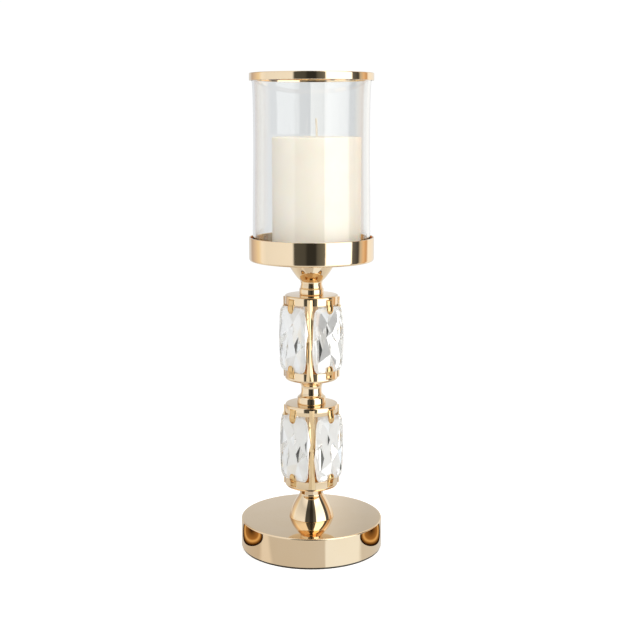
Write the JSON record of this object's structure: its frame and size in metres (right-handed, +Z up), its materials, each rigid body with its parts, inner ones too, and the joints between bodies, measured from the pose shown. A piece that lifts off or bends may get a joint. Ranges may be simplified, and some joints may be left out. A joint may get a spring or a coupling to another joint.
{
  "type": "hurricane candle lantern",
  "caption": "Tall hurricane candle lantern with a weighted round base, a column of crystal-faced metal cages, a dish, a lift-off glass chimney with a metal rim, and a loose pillar candle.",
  "frame": {"origin": "centre of the underside of the base pad, on the surface the lantern stands on", "axes": "+Z up along the tie rod, front towards -Y, +X to the right seen from the front"},
  "size_m": [0.12, 0.12, 0.4],
  "materials": {
    "polished_gold": "pale champagne gold plating over pressed and turned metal, mirror polished",
    "fastener_steel": "zinc-plated steel, satin",
    "cast_weight": "rough cast iron, painted black",
    "foot_pad": "closed-cell black foam rubber, matte",
    "crystal": "clear cut crystal, polished facets",
    "chimney_glass": "clear blown glass, smooth",
    "wax": "ivory paraffin wax, smooth satin",
    "wick_cotton": "braided waxed cotton"
  },
  "bodies": {
    "root": {"base_pad": "foot_pad", "base_shell": "polished_gold", "base_weight": "cast_weight", "base_washer": "fastener_steel", "base_nut": "fastener_steel", "tie_rod": "fastener_steel", "foot_bell": "polished_gold", "lower_bottom_cup": "polished_gold", "lower_top_cup": "polished_gold", "lower_core_sleeve": "polished_gold", "lower_bar_1": "polished_gold", "lower_bar_2": "polished_gold", "lower_bar_3": "polished_gold", "lower_bar_4": "polished_gold", "lower_crystal_1": "crystal", "lower_crystal_2": "crystal", "lower_crystal_3": "crystal", "lower_crystal_4": "crystal", "middle_spool": "polished_gold", "upper_bottom_cup": "polished_gold", "upper_top_cup": "polished_gold", "upper_core_sleeve": "polished_gold", "upper_bar_1": "polished_gold", "upper_bar_2": "polished_gold", "upper_bar_3": "polished_gold", "upper_bar_4": "polished_gold", "upper_crystal_1": "crystal", "upper_crystal_2": "crystal", "upper_crystal_3": "crystal", "upper_crystal_4": "crystal", "top_neck": "polished_gold", "dish_cone": "polished_gold", "dish_pan": "polished_gold", "dish_screw": "fastener_steel"},
    "glass": {"glass_chimney": "chimney_glass", "glass_ring": "polished_gold"},
    "candle": {"candle": "wax", "wick": "wick_cotton"}
  },
  "joints": [
    {"name": "glass_lift", "type": "slide", "parent": "root", "child": "glass", "axis": [0, 0, 1], "range_m": [0, 0.15]},
    {"name": "candle_lift", "type": "slide", "parent": "root", "child": "candle", "axis": [0, 0, 1], "range_m": [0, 0.17]}
  ]
}
